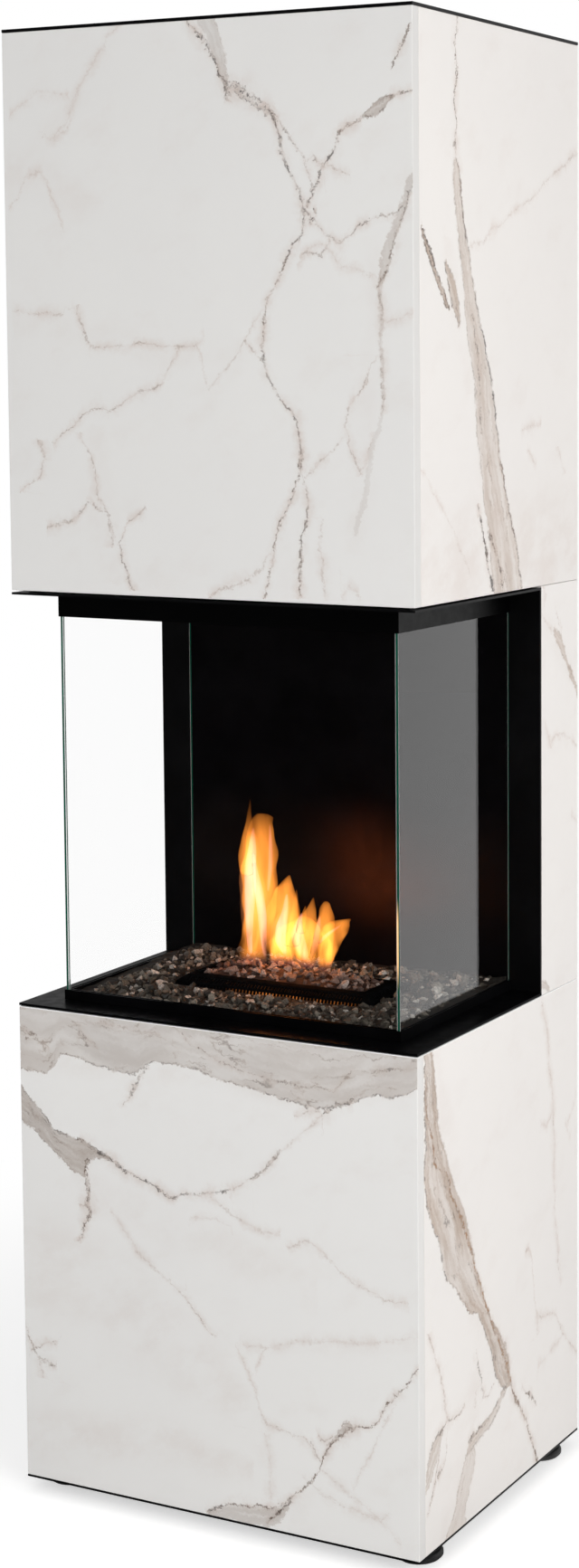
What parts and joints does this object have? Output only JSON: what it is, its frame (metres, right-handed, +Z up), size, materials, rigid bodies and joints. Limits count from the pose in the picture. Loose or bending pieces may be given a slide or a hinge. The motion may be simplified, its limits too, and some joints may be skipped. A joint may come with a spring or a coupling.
{
  "type": "stone fireplace",
  "caption": "Tall free-standing gas fire in stone panels, with a three-sided glass fire chamber, slotted burner, gravel bed and levelling feet.",
  "frame": {"origin": "on the floor under the middle of the fireplace", "axes": "+Z up, -Y out of the front glass, +X to the right of someone facing the fire"},
  "size_m": [0.62, 0.484, 2.0053],
  "materials": {
    "stone": "honed pale marble look with fine grey and beige veins",
    "black_steel": "black satin heat-proof paint",
    "burner_steel": "black matt heat-proof paint",
    "zinc_steel": "zinc-plated",
    "fire_glass": "clear ceramic glass with green edges",
    "gravel": "rough grey-brown crushed stone",
    "embers": "rough red-brown crushed stone",
    "rubber": "black, matt",
    "cast_aluminium": "as cast",
    "brass": "bright",
    "black_plastic": "fine-textured"
  },
  "bodies": {
    "root": {"base_front_panel": "stone", "base_left_panel": "stone", "base_right_panel": "stone", "base_back_panel": "black_steel", "base_plate": "black_steel", "base_post_front_left": "zinc_steel", "base_post_front_right": "zinc_steel", "base_post_rear_left": "zinc_steel", "base_post_rear_right": "zinc_steel", "column_left_panel": "stone", "column_right_panel": "stone", "column_back_panel": "black_steel", "column_cover_left": "black_steel", "column_cover_right": "black_steel", "column_post_left": "zinc_steel", "column_post_right": "zinc_steel", "firebox_back": "black_steel", "ledge_plate": "black_steel", "sill_frame": "black_steel", "header_frame": "black_steel", "glass_front": "fire_glass", "glass_left": "fire_glass", "glass_right": "fire_glass", "gravel_tray": "black_steel", "gravel_bed": "gravel", "burner_surround": "burner_steel", "burner_pan": "zinc_steel", "burner_plate": "zinc_steel", "ember_bed": "embers", "pilot_burner": "zinc_steel", "hood_front_panel": "stone", "hood_left_panel": "stone", "hood_right_panel": "stone", "hood_back_panel": "black_steel", "hood_plate": "black_steel", "top_plate": "black_steel", "hood_post_front_left": "zinc_steel", "hood_post_front_right": "zinc_steel", "hood_post_rear_left": "zinc_steel", "hood_post_rear_right": "zinc_steel", "flue_outer": "zinc_steel", "flue_inner": "zinc_steel", "flue_baffle": "black_steel", "valve_bracket": "zinc_steel", "gas_valve": "cast_aluminium", "burner_pipe": "brass", "supply_pipe": "brass", "gas_inlet": "brass", "control_box": "black_plastic"},
    "pad_front_left": {"foot_pad_front_left": "rubber"},
    "pad_front_right": {"foot_pad_front_right": "rubber"},
    "pad_rear_left": {"foot_pad_rear_left": "rubber"},
    "pad_rear_right": {"foot_pad_rear_right": "rubber"},
    "stud_front_left": {"foot_stud_front_left": "zinc_steel"},
    "stud_front_right": {"foot_stud_front_right": "zinc_steel"},
    "stud_rear_left": {"foot_stud_rear_left": "zinc_steel"},
    "stud_rear_right": {"foot_stud_rear_right": "zinc_steel"}
  },
  "joints": [
    {"name": "foot_front_left_height", "type": "slide", "parent": "root", "child": "pad_front_left", "axis": [0, 0, 1], "range_m": [-0.015, 0]},
    {"name": "foot_front_left_turn", "type": "hinge", "parent": "pad_front_left", "child": "stud_front_left", "pos_m": [-0.2775, -0.182, 0], "axis": [0, 0, 1], "range_deg": [-4500, 0]},
    {"name": "foot_front_right_height", "type": "slide", "parent": "root", "child": "pad_front_right", "axis": [0, 0, 1], "range_m": [-0.015, 0]},
    {"name": "foot_front_right_turn", "type": "hinge", "parent": "pad_front_right", "child": "stud_front_right", "pos_m": [0.2775, -0.182, 0], "axis": [0, 0, 1], "range_deg": [-4500, 0]},
    {"name": "foot_rear_left_height", "type": "slide", "parent": "root", "child": "pad_rear_left", "axis": [0, 0, 1], "range_m": [-0.015, 0]},
    {"name": "foot_rear_left_turn", "type": "hinge", "parent": "pad_rear_left", "child": "stud_rear_left", "pos_m": [-0.2775, 0.182, 0], "axis": [0, 0, 1], "range_deg": [-4500, 0]},
    {"name": "foot_rear_right_height", "type": "slide", "parent": "root", "child": "pad_rear_right", "axis": [0, 0, 1], "range_m": [-0.015, 0]},
    {"name": "foot_rear_right_turn", "type": "hinge", "parent": "pad_rear_right", "child": "stud_rear_right", "pos_m": [0.2775, 0.182, 0], "axis": [0, 0, 1], "range_deg": [-4500, 0]}
  ],
  "couplings": [
    {"joint": "foot_front_left_turn", "follows": "foot_front_left_height", "rad_per_m": 4188.8},
    {"joint": "foot_front_right_turn", "follows": "foot_front_right_height", "rad_per_m": 4188.8},
    {"joint": "foot_rear_left_turn", "follows": "foot_rear_left_height", "rad_per_m": 4188.8},
    {"joint": "foot_rear_right_turn", "follows": "foot_rear_right_height", "rad_per_m": 4188.8}
  ]
}
